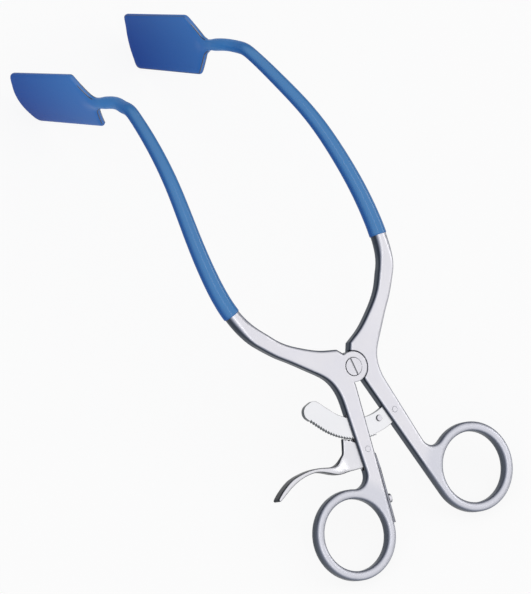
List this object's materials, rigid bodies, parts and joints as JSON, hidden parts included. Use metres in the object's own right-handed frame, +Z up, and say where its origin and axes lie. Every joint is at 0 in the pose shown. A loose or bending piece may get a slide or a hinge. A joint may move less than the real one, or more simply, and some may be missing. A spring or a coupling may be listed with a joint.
{
  "type": "lateral retractor",
  "caption": "Self-retaining lateral surgical retractor with finger rings, toothed ratchet bar, sprung release lever, bent arms and blue insulated blades.",
  "frame": {"origin": "middle of the bounding box at table level; the instrument stands on both blade ends and both finger rings, with its handles sloping down to the table", "axes": "+Z up from the table, +Y from the finger rings towards the blades, +X to the right half, on the side away from the release lever"},
  "size_m": [0.1006, 0.2446, 0.0718],
  "materials": {
    "steel": "satin",
    "coating": "smooth, slightly glossy"
  },
  "bodies": {
    "left_half": {"left_arm": "steel", "left_blade": "steel", "left_coating": "coating", "lever_pin": "steel", "leaf_spring": "steel", "spring_screw": "steel"},
    "right_half": {"right_arm": "steel", "right_blade": "steel", "right_coating": "coating", "ratchet_bar": "steel", "ratchet_rivet": "steel", "stop_pin": "steel", "pivot_screw": "steel"},
    "release_lever": {"release_lever": "steel"}
  },
  "joints": [
    {"name": "pivot", "type": "hinge", "parent": "left_half", "child": "right_half", "pos_m": [0.00341, -0.05449, 0.03328], "axis": [0, -0.4242, 0.9056], "range_deg": [-13, 20]},
    {"name": "lever_hinge", "type": "hinge", "parent": "left_half", "child": "release_lever", "pos_m": [-0.00619, -0.08184, 0.02047], "axis": [0, -0.4242, 0.9056], "range_deg": [0, 6], "stiffness_Nm_per_rad": 0.05, "springref_deg": -11.46, "deforming": ["leaf_spring"]}
  ]
}
